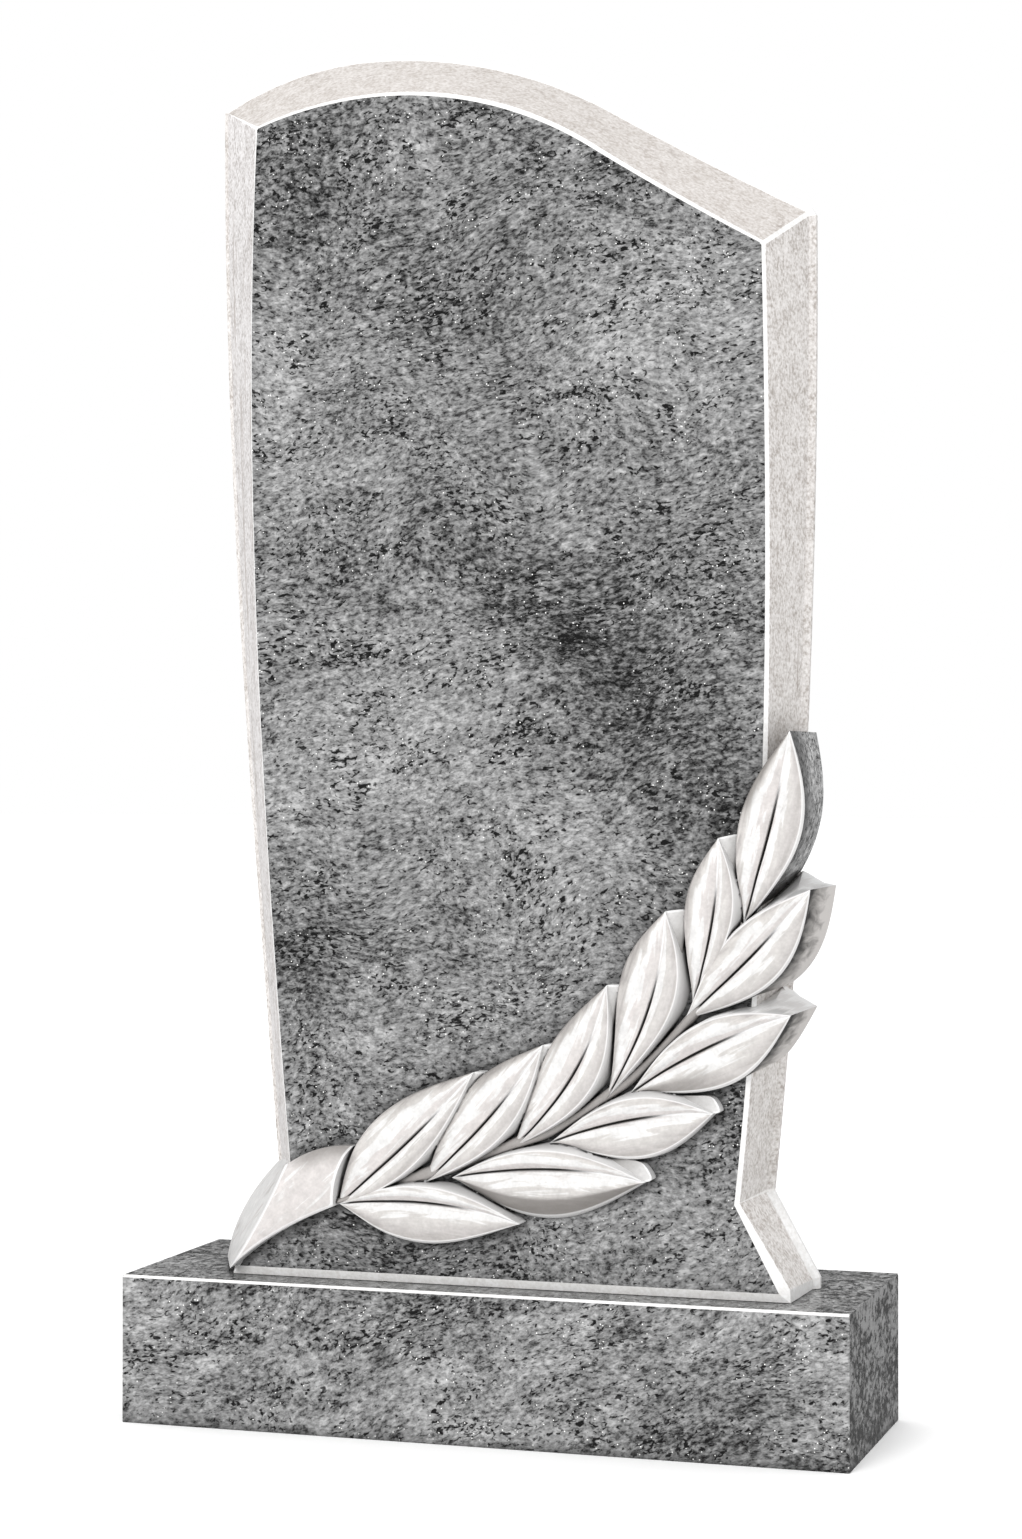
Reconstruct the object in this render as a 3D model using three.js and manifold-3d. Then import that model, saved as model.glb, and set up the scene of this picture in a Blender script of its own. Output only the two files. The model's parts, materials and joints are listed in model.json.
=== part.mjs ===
// A marble memorial: an upright stele with a laurel branch carved in its front, standing on a plain plinth.
// Millimetres, +Z up, the front looks along -Y, the origin is the middle of the plinth's underside.
import * as THREE from "three";
import Module from "manifold-3d";

const wasm = await Module();
wasm.setup();

// Plinth
const plinthWidth = 600;
const plinthDepth = 200;
const plinthHeight = 120;
const plinthArris = 2; // the top edges are ground off by this much

// Stele
const steleHeight = 1000; // from its underside to the crest
const steleThickness = 80; // without the carving
const crestSlant = 50; // the crest of the polished face is this much lower than that of the back
const seatGap = 0.3; // between the stele and the plinth
const frontSetBack = 30; // the stele's polished face stands this far behind the plinth's front
const faceBevel = 5.5; // width of the bevel round the polished face, seen from the front
const faceBevelDepth = 3;
const faceBevelFoot = 7; // height of that bevel along the bottom
const backLand = 5; // width of the step round the back edge, seen from the front
const backLandDepth = 5;
const backEdge = 5; // square edge left at the back
const sideSteps = 12;
const topSteps = 26;

// Carving
const leafRelief = 17; // the leaves stand this high over the polished face
const leafBaseRelief = 8; // and this high where they leave the twig
const leafTilt = 4; // one half of a leaf rises by this much, the other one sinks
const leafCrown = 4; // swelling of each half of a leaf
const ribDepth = 3; // depth of the groove along the middle of a leaf
const ribShare = 0.09; // half the width of that groove, as a share of the leaf's half width
const ribEnd = 0.8; // the groove runs out at this share of the length
const wallDraft = 1.5; // the walls of the carving spread by this much on the way to the face
const carvingRoot = 3; // how far the carving reaches into the block
const leafSteps = 14;
const twigRelief = 11;
const twigHalfWidth = 6;
const twigEndHalfWidth = 3;
const twigSteps = 16;
const stemRelief = 16;
const stemCrown = 4;
const undercut = 7; // the last leaf narrows by this much towards the back
const foldDrop = 9; // a folded edge falls by this much

const undersideZ = plinthHeight + seatGap;
const faceY = frontSetBack - plinthDepth / 2;
const backY = faceY + steleThickness;

// The front and the back outline of the stele. Heights are measured from its underside. The back one is
// the full size, the front one is smaller, because the sides are ground at a slant.
const frontOutline = {
  crestX: -85,
  crestHeight: steleHeight - crestSlant,
  leftRadius: 316, // the arc from the crest to the left corner
  rightRadius: 316, // the arc from the crest to the bend
  bendX: 87, // here the slack fall to the right corner starts
  leftX: -194,
  rightX: 225,
  rightDrop: 134, // the right corner lies this far below the crest
  waistHeight: 74,
  leftWaistX: -163.5,
  rightWaistX: 203.5,
  leftBow: [-188, -208.5], // the inner control points of each side, from the waist up
  rightBow: [231, 230.5],
  leftFootX: -219,
  rightFootX: 247.5,
};
const backOutline = {
  crestX: -118,
  crestHeight: steleHeight,
  leftRadius: 276,
  rightRadius: 405,
  bendX: 88,
  leftX: -254,
  rightX: 252,
  rightDrop: 147,
  waistHeight: 76,
  leftWaistX: -205,
  rightWaistX: 218,
  leftBow: [-229.5, -256],
  rightBow: [244.5, 253.5],
  leftFootX: -248,
  rightFootX: 260,
};

// Leaves in the plane of the front, x across and height over its underside: where each starts on the twig,
// its tip, the sideways bow of its middle, the half widths on its left and right, seen from the base
// to the tip, and an exponent that moves the widest place. high says which half stands higher: 1 left,
// -1 right. tipWall is how far the wall of that half spreads near the tip. Leaves that pass the side of the
// stele go through to its back.
const leaves = [
  {
    base: [-120, 62], tip: [-3, 172], bow: -4, left: 32, right: 18, skew: 0.88,
    high: -1, tipWall: 4,
  },
  {
    base: [-49, 81], tip: [54, 195], bow: -6.5, left: 29, right: 19, skew: 1.1,
    high: -1, tipWall: 4,
  },
  {
    base: [25, 112], tip: [106, 243], bow: -14, left: 28.5, right: 20, skew: 1.13,
    high: -1, tipWall: 4,
  },
  {
    base: [99, 148], tip: [153, 301], bow: -12.5, left: 29.5, right: 20, skew: 1.45,
    high: -1, tipWall: 5,
  },
  {
    base: [171, 222], tip: [195, 358], bow: -6.5, left: 24.5, right: 17, skew: 1.32,
    high: -1, tipWall: 8,
  },
  {
    base: [213, 292], tip: [251, 440], bow: -3.5, left: 25, right: 24.5, skew: 1.05,
    high: 0, through: true,
  },
  {
    base: [-119, 62], tip: [35, 54], bow: 9.5, left: 14, right: 33, skew: 0.94,
    high: 1, tipWall: 2,
  },
  {
    base: [-24, 87], tip: [137, 91], bow: 9, left: 16, right: 40, skew: 0.97,
    high: 1, tipWall: 8, fold: 0.55,
  },
  {
    base: [56, 117], tip: [191, 146], bow: 7, left: 17.5, right: 31.5, skew: 1.16,
    high: 1, tipWall: 8,
  },
  {
    base: [121, 157], tip: [252, 223], bow: 6, left: 19.5, right: 33, skew: 1.16,
    high: 1, tipWall: 15, through: true,
  },
  {
    base: [166, 217], tip: [267, 319], bow: -3.5, left: 22.5, right: 25.5, skew: 1.09,
    high: 1, tipWall: 15, through: true,
  },
];

// The twig passes these points, from the stem to the last leaf.
const twigLine = [[-121, 64], [35, 118], [109, 160], [173, 222], [213, 292]];

// The stem: edges in the plane of the front as start, control point and end.
const stemUpper = [[-107, 109], [-140, 110], [-164, 92]];
const stemRidge = [[-164, 92], [-178, 57], [-211, 7]];
const stemLower = [[-122, 61], [-180, 38], [-211, 7]];
const stemCut = [[-107, 109], [-121, 88], [-122, 61]];
// The outer side of the stem reaches the back along this edge.
const stemBack = [[-199, 91], [-246, 48], [-254, 0]];
const stemSteps = 7;

const curve = ([a, b, c]) => new THREE.QuadraticBezierCurve(
  new THREE.Vector2(...a),
  new THREE.Vector2(...b),
  new THREE.Vector2(...c),
);
const smooth = (t) => THREE.MathUtils.smoothstep(t, 0, 1);
// A point of the stele from its place across, its depth and its height over the underside.
const point = (x, y, height) => new THREE.Vector3(x, y, undersideZ + height);

// Collects triangles, welds equal corners and drops those that have shrunk to a line.
class Skin {
  constructor() {
    this.points = [];
    this.triangles = [];
    this.known = new Map();
  }

  index(p) {
    const key = [p.x, p.y, p.z].map((c) => Math.round(c * 1e4)).join(" ");
    if (!this.known.has(key)) {
      this.known.set(key, this.points.length);
      this.points.push(p);
    }
    return this.known.get(key);
  }

  triangle(a, b, c) {
    const [i, j, k] = [a, b, c].map((p) => this.index(p));
    if (i !== j && j !== k && k !== i) this.triangles.push(i, j, k);
  }

  quad(a, b, c, d) {
    this.triangle(a, b, c);
    this.triangle(a, c, d);
  }

  // Flat cap over a ring that lies in a plane of equal y.
  cap(ring, looksForward) {
    const flat = ring.map((p) => new THREE.Vector2(p.x, p.z));
    for (const [i, j, k] of THREE.ShapeUtils.triangulateShape(flat, [])) {
      const turn = flat[j].clone().sub(flat[i]).cross(flat[k].clone().sub(flat[i]));
      const towardsFront = turn > 0;
      if (towardsFront === looksForward) this.triangle(ring[i], ring[j], ring[k]);
      else this.triangle(ring[i], ring[k], ring[j]);
    }
  }

  solid() {
    return new wasm.Manifold(new wasm.Mesh({
      numProp: 3,
      vertProperties: new Float32Array(this.points.flatMap((p) => [p.x, p.y, p.z])),
      triVerts: new Uint32Array(this.triangles),
    }));
  }
}

// One side of the stele from waist to corner: height runs evenly, x follows a cubic curve.
function sidePoints(waistX, bow, topX, waistHeight, topHeight) {
  const points = [];
  for (let i = 0; i <= sideSteps; i += 1) {
    const u = i / sideSteps;
    const w = 1 - u;
    const x = waistX * w ** 3 + 3 * bow[0] * u * w * w + 3 * bow[1] * u * u * w + topX * u ** 3;
    points.push([x, THREE.MathUtils.lerp(waistHeight, topHeight, u)]);
  }
  return points;
}

// The closed outline, anticlockwise from the right foot as seen from the front.
function outlinePoints(o) {
  const arcHeight = (x) => {
    const radius = x < o.crestX ? o.leftRadius : o.rightRadius;
    return o.crestHeight - radius + Math.sqrt(radius ** 2 - (x - o.crestX) ** 2);
  };
  const bendHeight = arcHeight(o.bendX);
  const rightHeight = o.crestHeight - o.rightDrop;
  const rise = (o.bendX - o.crestX) / o.rightRadius;
  const slope = rise / Math.sqrt(1 - rise * rise);
  const run = o.rightX - o.bendX;
  const hollow = (slope * run - (bendHeight - rightHeight)) / 4; // keeps the fall tangent to the arc
  const points = [[o.rightFootX, 0]];
  points.push(...sidePoints(o.rightWaistX, o.rightBow, o.rightX, o.waistHeight, rightHeight));
  for (let i = topSteps - 1; i > 0; i -= 1) {
    const x = THREE.MathUtils.lerp(o.leftX, o.rightX, i / topSteps);
    const u = (x - o.bendX) / run;
    const fall = THREE.MathUtils.lerp(bendHeight, rightHeight, u) - hollow * 4 * u * (1 - u);
    points.push([x, x < o.bendX ? arcHeight(x) : fall]);
  }
  points.push(...sidePoints(o.leftWaistX, o.leftBow, o.leftX, o.waistHeight, arcHeight(o.leftX)).reverse());
  points.push([o.leftFootX, 0]);
  return points.map(([x, z]) => new THREE.Vector2(x, z));
}

// Moves an outline outwards along its corner normals; the bottom keeps its height.
function grown(points, distance) {
  const n = points.length;
  return points.map((p, i) => {
    const before = p.clone().sub(points[(i + n - 1) % n]).normalize();
    const after = points[(i + 1) % n].clone().sub(p).normalize();
    if (i === 0) return new THREE.Vector2(p.x + distance / after.y, p.y);
    if (i === n - 1) return new THREE.Vector2(p.x + distance / before.y, p.y);
    const normal = new THREE.Vector2(before.y + after.y, -before.x - after.x).normalize();
    return p.clone().addScaledVector(normal, distance / normal.dot(new THREE.Vector2(after.y, -after.x)));
  });
}

function block() {
  const front = outlinePoints(frontOutline);
  const back = outlinePoints(backOutline);
  const n = front.length;
  const ring = (outline, y) => outline.map((p) => point(p.x, y, p.y));
  const face = ring(front, faceY);
  const rightFootLean = (front[1].x - front[0].x) / (front[1].y - front[0].y);
  const leftFootLean = (front[n - 2].x - front[n - 1].x) / (front[n - 2].y - front[n - 1].y);
  face[0].z += faceBevelFoot;
  face[0].x += rightFootLean * faceBevelFoot;
  face[n - 1].z += faceBevelFoot;
  face[n - 1].x += leftFootLean * faceBevelFoot;
  const rings = [
    face,
    ring(grown(front, faceBevel), faceY + faceBevelDepth),
    ring(grown(back, -backLand), backY - backEdge - backLandDepth),
    ring(back, backY - backEdge),
    ring(back, backY),
  ];
  const skin = new Skin();
  skin.cap(rings[0], true);
  skin.cap(rings[rings.length - 1], false);
  for (let k = 1; k < rings.length; k += 1) {
    for (let i = 0; i < n; i += 1) {
      const j = (i + 1) % n;
      skin.quad(rings[k - 1][i], rings[k][i], rings[k][j], rings[k - 1][j]);
    }
  }
  return skin.solid();
}

// A carved form: a grid of points that faces the front, walls from its rim to a rear ring, a flat rear.
// Rows run from the start to the end of the form, each row from its right edge to its left edge.
function carved(rows, rearOf) {
  const skin = new Skin();
  const last = rows.length - 1;
  const width = rows[0].length - 1;
  for (let i = 0; i < last; i += 1) {
    for (let j = 0; j < width; j += 1) {
      skin.quad(rows[i][j], rows[i + 1][j], rows[i + 1][j + 1], rows[i][j + 1]);
    }
  }
  const rim = [];
  for (let i = 0; i < last; i += 1) rim.push([i, 0]);
  for (let j = 0; j < width; j += 1) rim.push([last, j]);
  for (let i = last; i > 0; i -= 1) rim.push([i, width]);
  for (let j = width; j > 0; j -= 1) rim.push([0, j]);
  const distinct = rim.filter(([i, j], at) => {
    const [pi, pj] = rim[(at + rim.length - 1) % rim.length];
    return rows[i][j].distanceTo(rows[pi][pj]) > 1e-4;
  });
  const front = distinct.map(([i, j]) => rows[i][j]);
  const rear = distinct.map(([i, j]) => rearOf(i, j, rows[i][j]));
  for (let a = 0; a < front.length; a += 1) {
    const b = (a + 1) % front.length;
    skin.quad(front[a], rear[a], rear[b], front[b]);
  }
  skin.cap(rear, false);
  return skin.solid();
}

const acrossLeaf = [-1, -0.8, -0.45, -ribShare, 0, ribShare, 0.45, 0.8, 1];

function leaf(l) {
  const base = new THREE.Vector2(...l.base);
  const along = new THREE.Vector2(...l.tip).sub(base);
  const side = new THREE.Vector2(-along.y, along.x).normalize();
  const place = (s, v, spread) => {
    const halfWidth = (v > 0 ? l.left : l.right) * Math.sin(Math.PI * s ** l.skew);
    const offset = l.bow * 4 * s * (1 - s) + v * (halfWidth + spread);
    return base.clone().addScaledVector(along, s).addScaledVector(side, offset);
  };
  const relief = (s, v) => {
    const rise = THREE.MathUtils.lerp(leafBaseRelief, leafRelief, smooth(s / 0.3));
    const lobes = leafCrown * Math.sin(Math.PI * Math.abs(v)) + l.high * leafTilt * v;
    const groove = v === 0 ? ribDepth * smooth((ribEnd - s) / 0.3) : 0;
    const folded = l.fold && v < -l.fold ? foldDrop * (-v - l.fold) / (1 - l.fold) : 0;
    return rise + Math.sqrt(Math.sin(Math.PI * s)) * (lobes - groove - folded);
  };
  const across = l.fold ? [-1, -l.fold, ...acrossLeaf.slice(2)] : acrossLeaf;
  const rows = [];
  for (let i = 0; i <= leafSteps; i += 1) {
    const s = i / leafSteps;
    rows.push(across.map((v) => {
      const p = place(s, v, 0);
      return point(p.x, faceY - relief(s, v), p.y);
    }));
  }
  return carved(rows, (i, j) => {
    const s = i / leafSteps;
    const v = across[j];
    const draft = (l.tipWall ? wallDraft : -undercut) * Math.sin(Math.PI * s);
    const nearTip = v * l.high > 0 ? l.tipWall * Math.sin(Math.PI * s ** 3) : 0;
    const p = place(s, v, draft + nearTip);
    return point(p.x, l.through ? backY : faceY + carvingRoot, p.y);
  });
}

function twig() {
  const line = new THREE.CatmullRomCurve3(twigLine.map(([x, height]) => point(x, 0, height)));
  const across = [-1, -0.5, 0.5, 1];
  const rows = [];
  for (let i = 0; i <= twigSteps; i += 1) {
    const t = i / twigSteps;
    const tangent = line.getTangent(t);
    const side = new THREE.Vector3(-tangent.z, 0, tangent.x);
    const half = THREE.MathUtils.lerp(twigHalfWidth, twigEndHalfWidth, t);
    rows.push(across.map((v) => {
      const relief = Math.abs(v) < 1 ? twigRelief : twigRelief / 2;
      return line.getPoint(t).addScaledVector(side, v * half).setY(faceY - relief);
    }));
  }
  return carved(rows, (i, j, p) => p.clone().setY(faceY + carvingRoot));
}

function stem() {
  const upper = curve(stemUpper).getPoints(stemSteps);
  const outer = upper.concat(curve(stemRidge).getPoints(stemSteps).slice(1));
  const last = outer.length - 1;
  const lower = curve(stemLower).getPoints(last);
  const cut = curve(stemCut);
  const back = curve(stemBack);
  const across = [0, 0.25, 0.5, 0.75, 1];
  const rows = outer.map((top, i) => {
    const t = i / last;
    return across.map((v) => {
      const bowed = cut.getPoint(v).sub(outer[0].clone().lerp(lower[0], v)).multiplyScalar((1 - t) ** 4);
      const p = top.clone().lerp(lower[i], v).add(bowed);
      const swell = stemCrown * 4 * v * (1 - v) * Math.sqrt(1 - t);
      return point(p.x, faceY - stemRelief - swell, p.y);
    });
  });
  return carved(rows, (i, j, p) => {
    const outside = i === last || (j === 0 && i >= stemSteps);
    if (!outside) return p.clone().setY(backY);
    const edge = back.getPoint((i - stemSteps) / (last - stemSteps));
    return point(edge.x, backY, edge.y);
  });
}

// The plinth's section across its depth, drawn out over its width.
function plinthGeometry() {
  const half = plinthDepth / 2;
  const section = new THREE.Shape([
    new THREE.Vector2(-half, 0),
    new THREE.Vector2(half, 0),
    new THREE.Vector2(half, plinthHeight - plinthArris),
    new THREE.Vector2(half - plinthArris, plinthHeight),
    new THREE.Vector2(plinthArris - half, plinthHeight),
    new THREE.Vector2(-half, plinthHeight - plinthArris),
  ]);
  const geometry = new THREE.ExtrudeGeometry(section, { depth: plinthWidth, bevelEnabled: false });
  // The section's x becomes the depth, its y the height and the extrusion the width.
  geometry.applyMatrix4(new THREE.Matrix4().makeBasis(
    new THREE.Vector3(0, 1, 0),
    new THREE.Vector3(0, 0, 1),
    new THREE.Vector3(1, 0, 0),
  ));
  return geometry.translate(-plinthWidth / 2, 0, 0);
}

function solidGeometry(solid) {
  const { vertProperties, triVerts } = solid.getMesh();
  const geometry = new THREE.BufferGeometry();
  geometry.setAttribute("position", new THREE.BufferAttribute(new Float32Array(vertProperties), 3));
  geometry.setIndex(new THREE.BufferAttribute(new Uint32Array(triVerts), 1));
  geometry.computeVertexNormals();
  return geometry;
}

function piece(name, geometry, color, roughness) {
  const mesh = new THREE.Mesh(geometry, new THREE.MeshStandardMaterial({ color, roughness, metalness: 0 }));
  mesh.name = name;
  return mesh;
}

const carvings = [stem(), twig(), ...leaves.map(leaf)];
const stele = carvings.reduce((sum, form) => sum.add(form), block());

const memorial = new THREE.Group();
memorial.name = "marble_memorial";
memorial.add(piece("plinth", plinthGeometry(), "#828282", 0.25));
memorial.add(piece("stele", solidGeometry(stele), "#8c8b8a", 0.3));

export default memorial;
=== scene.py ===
import json
import math
from functools import partial

import bmesh
import bpy
import numpy as np
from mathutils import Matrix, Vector
from mathutils.bvhtree import BVHTree


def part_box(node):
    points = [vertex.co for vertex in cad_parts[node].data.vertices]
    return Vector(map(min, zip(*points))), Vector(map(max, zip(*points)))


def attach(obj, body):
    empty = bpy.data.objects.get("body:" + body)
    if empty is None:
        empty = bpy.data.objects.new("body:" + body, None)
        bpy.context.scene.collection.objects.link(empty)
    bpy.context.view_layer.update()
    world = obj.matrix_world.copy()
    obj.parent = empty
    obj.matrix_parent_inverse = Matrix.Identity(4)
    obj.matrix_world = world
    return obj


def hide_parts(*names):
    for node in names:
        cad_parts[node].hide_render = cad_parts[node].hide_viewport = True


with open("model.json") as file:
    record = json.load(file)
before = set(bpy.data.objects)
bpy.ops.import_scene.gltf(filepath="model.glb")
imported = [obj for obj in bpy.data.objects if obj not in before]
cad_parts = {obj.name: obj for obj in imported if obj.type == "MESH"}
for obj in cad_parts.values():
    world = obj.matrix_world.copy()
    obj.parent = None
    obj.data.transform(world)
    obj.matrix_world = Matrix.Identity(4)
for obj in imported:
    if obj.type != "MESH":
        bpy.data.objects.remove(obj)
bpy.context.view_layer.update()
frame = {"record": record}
mm = 0.001

# the two stones stand where the frame has them
steleLow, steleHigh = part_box("stele")
plinthLow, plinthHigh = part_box("plinth")
undersideZ = steleLow.z
backY = steleHigh.y / mm
faceY = next(m["pos_m"][1] for m in frame["record"]["mounts"] if m["name"] == "inscription_face") / mm


def smooth(t):
    t = np.clip(t, 0, 1)
    return t * t * (3 - 2 * t)


def linear(colour):
    # sRGB hex to the linear colour that the shader wants
    parts = [int(colour[i:i + 2], 16) / 255 for i in (1, 3, 5)]
    return [c / 12.92 if c <= 0.04045 else ((c + 0.055) / 1.055) ** 2.4 for c in parts] + [1]


def grey(tone):
    return "#" + f"{round(tone):02x}" * 3


def linked(name, data):
    # a new object in the scene that holds this mesh, camera or light
    made = bpy.data.objects.new(name, data)
    bpy.context.scene.collection.objects.link(made)
    return made


# camera at the photo's angle, focal length for a picture 1022 wide and 1539 high
view = {
    "place": (757.8, -2368.6, 530.8),  # mm
    "turn": 17.74,  # degrees to the left of straight ahead
    "lens": 71.41,
    "sensor": 36,
}


def addCamera():
    data = bpy.data.cameras.new("PhotoCamera")
    data.lens = view["lens"]
    data.sensor_width = view["sensor"]
    data.sensor_fit = "AUTO"
    data.clip_end = 200
    camera = linked("PhotoCamera", data)
    camera.location = [c * mm for c in view["place"]]
    camera.rotation_euler = (math.radians(90), 0, math.radians(view["turn"]))
    bpy.context.scene.camera = camera


addCamera()
print("camera placed")

# Stele. Sizes in mm, heights over its underside; the back outline is the full size, the front one smaller.
stele = {
    # width of the bevel at the right foot, waist and corner, at the crest, and at the left corner and side
    "faceBevel": (4.8, 3.4, 2.5, 4, 2.8, 1.8),
    "faceBevelDepth": 3,
    "faceBevelFoot": 7,
    "backLand": 5,
    "backLandDepth": 5,
    "backEdge": 5,
    "footChamfer": (5, 9),  # width and height of the bevel under each foot
    "rightCorner": (1.4, 3.8),  # bevel of the upper right corner at the face and at the back
    "leftCorner": (0.8, 1.5),
    "arris": 0.5,  # every edge is rubbed down by this much
    "arrisAngle": 14,  # where it turns by more than this many degrees
    "sideSteps": 44,
    "topSteps": 96,
}
frontOutline = {
    "crestX": -85, "crestHeight": 950, "leftRadius": 316, "rightRadius": 316, "bendX": 87,
    "leftX": -194, "rightX": 225, "rightDrop": 134, "waistHeight": 74,
    "leftWaistX": -163.5, "rightWaistX": 203.5, "leftBow": (-188, -208.5), "rightBow": (231, 230.5),
    "leftFootX": -219, "rightFootX": 247.5,
}
backOutline = {
    "crestX": -118, "crestHeight": 1000, "leftRadius": 276, "rightRadius": 405, "bendX": 88,
    "leftX": -254, "rightX": 252, "rightDrop": 147, "waistHeight": 76,
    "leftWaistX": -205, "rightWaistX": 218, "leftBow": (-229.5, -256), "rightBow": (244.5, 253.5),
    "leftFootX": -248, "rightFootX": 260,
}


def sideLine(waistX, bow, topX, waistHeight, topHeight):
    u = np.linspace(0, 1, stele["sideSteps"] + 1)
    w = 1 - u
    x = waistX * w ** 3 + 3 * bow[0] * u * w * w + 3 * bow[1] * u * u * w + topX * u ** 3
    return np.column_stack([x, waistHeight + (topHeight - waistHeight) * u])


def outline(o, rightCorner, leftCorner):
    # closed outline as rows of x and height, from the right foot over the top to the left foot
    def arcHeight(x):
        radius = np.where(x < o["crestX"], o["leftRadius"], o["rightRadius"])
        return o["crestHeight"] - radius + np.sqrt(radius ** 2 - (x - o["crestX"]) ** 2)

    def foot(footX, waistX, inwards):
        # the two corners of the bevel under a foot
        width, height = stele["footChamfer"]
        share = height / o["waistHeight"]
        return [[footX + inwards * width, 0], [footX + (waistX - footX) * share, height]]

    bendHeight = arcHeight(o["bendX"])
    rightHeight = o["crestHeight"] - o["rightDrop"]
    rise = (o["bendX"] - o["crestX"]) / o["rightRadius"]
    run = o["rightX"] - o["bendX"]
    hollow = (rise / math.sqrt(1 - rise * rise) * run - (bendHeight - rightHeight)) / 4
    x = np.linspace(o["rightX"], o["leftX"], stele["topSteps"] + 1)
    x[0] -= rightCorner
    x[-1] += leftCorner
    u = (x - o["bendX"]) / run
    fall = bendHeight + (rightHeight - bendHeight) * u - hollow * 4 * u * (1 - u)
    top = np.column_stack([x, np.where(x < o["bendX"], arcHeight(np.minimum(x, o["bendX"])), fall)])
    right = sideLine(o["rightWaistX"], o["rightBow"], o["rightX"], o["waistHeight"], rightHeight)
    leftTop = arcHeight(o["leftX"])
    left = sideLine(o["leftWaistX"], o["leftBow"], o["leftX"], o["waistHeight"], leftTop)[::-1]
    right[-1, 1] -= rightCorner
    left[0, 1] -= leftCorner
    rightFoot = foot(o["rightFootX"], o["rightWaistX"], -1)
    leftFoot = foot(o["leftFootX"], o["leftWaistX"], 1)[::-1]
    return np.vstack([rightFoot, right, top, left, leftFoot])


def grown(points, distance):
    # moves an outline outwards along its corner normals; the bottom keeps its height
    distance = np.broadcast_to(distance, len(points))
    before = points - np.roll(points, 1, axis=0)
    after = np.roll(points, -1, axis=0) - points
    before /= np.linalg.norm(before, axis=1)[:, None]
    after /= np.linalg.norm(after, axis=1)[:, None]
    normal = np.column_stack([before[:, 1] + after[:, 1], -before[:, 0] - after[:, 0]])
    normal /= np.linalg.norm(normal, axis=1)[:, None]
    reach = distance / (normal[:, 0] * after[:, 1] - normal[:, 1] * after[:, 0])
    moved = points + normal * reach[:, None]
    moved[0] = points[0] + [distance[0] / after[0, 1], 0]
    moved[-1] = points[-1] + [distance[-1] / before[-1, 1], 0]
    return moved


def placed(points):
    # rows of x, depth and height in mm to metres in the frame
    points = np.asarray(points, float)
    return points * mm + [0, 0, undersideZ]


def closedMesh(name, points, faces, kinds):
    # kinds holds a number out of zones for each face, which outlives the union
    mesh = bpy.data.meshes.new(name)
    mesh.from_pydata([tuple(p) for p in points], [], faces)
    attribute = mesh.attributes.new("zone", "INT", "FACE")
    attribute.data.foreach_set("value", kinds)
    bm = bmesh.new()
    bm.from_mesh(mesh)
    bmesh.ops.remove_doubles(bm, verts=bm.verts, dist=1e-6)
    bmesh.ops.recalc_face_normals(bm, faces=bm.faces)
    bm.to_mesh(mesh)
    bm.free()
    return linked(name, mesh)


# what a face of the stele belongs to; a leaf's number is added to its zones
zones = {"face": 0, "bevel": 1, "side": 2, "back": 3, "underside": 4, "footBevel": 5, "footSide": 6, "top": 7,
         "leftSide": 8, "leaf": 100, "leafWall": 200, "bed": 299, "twig": 300, "stem": 301, "stemWall": 302}


def blockForm():
    front, back = (outline(o, stele["rightCorner"][k], stele["leftCorner"][k])
                   for k, o in enumerate((frontOutline, backOutline)))
    corners = (stele["sideSteps"] + 2, stele["sideSteps"] + stele["topSteps"] + 3)
    crest = (corners[0] + corners[1]) // 2
    places = (1, 2, corners[0], crest, corners[1], corners[1] + 3)
    widths = np.interp(np.arange(len(front)), places, stele["faceBevel"])
    face = front.copy()
    foot = stele["faceBevelFoot"]
    for end, waist in ((0, 2), (-1, -3)):
        lean = (front[waist] - front[end]) / (front[waist] - front[end])[1]
        inner = 1 if end == 0 else -2
        face[end] = front[end] + lean * foot
        face[inner] = front[end] + lean * (foot + 1)
    rings = [
        (face, faceY),
        (grown(front, widths), faceY + stele["faceBevelDepth"]),
        (grown(back, -stele["backLand"]), backY - stele["backEdge"] - stele["backLandDepth"]),
        (back, backY - stele["backEdge"]),
        (back, backY),
    ]
    count = len(front)
    points = np.vstack([np.column_stack([p[:, 0], np.full(count, y), p[:, 1]]) for p, y in rings])
    faces = [list(range(count)), list(range(4 * count, 5 * count))]
    kinds = ["face", "back"]
    for k in range(len(rings) - 1):
        for i in range(count):
            j = (i + 1) % count
            faces.append([k * count + i, (k + 1) * count + i, (k + 1) * count + j, k * count + j])
            onTop = corners[0] < i < corners[1]
            if i == count - 1:
                kinds.append("footBevel" if k == 0 else "underside")
            elif i in (1, count - 3):
                kinds.append("footSide" if k == 1 else "bevel")
            elif k == 0 or i in (0, count - 2, *corners):
                kinds.append("bevel")
            elif onTop:
                kinds.append("top" if k == 1 else "bevel")
            else:
                # the step round the back is as dull as the side
                kinds.append("leftSide" if k == 1 and i > corners[1] else "side")
    return closedMesh("Stele", placed(points), faces, [zones[kind] for kind in kinds])


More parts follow.
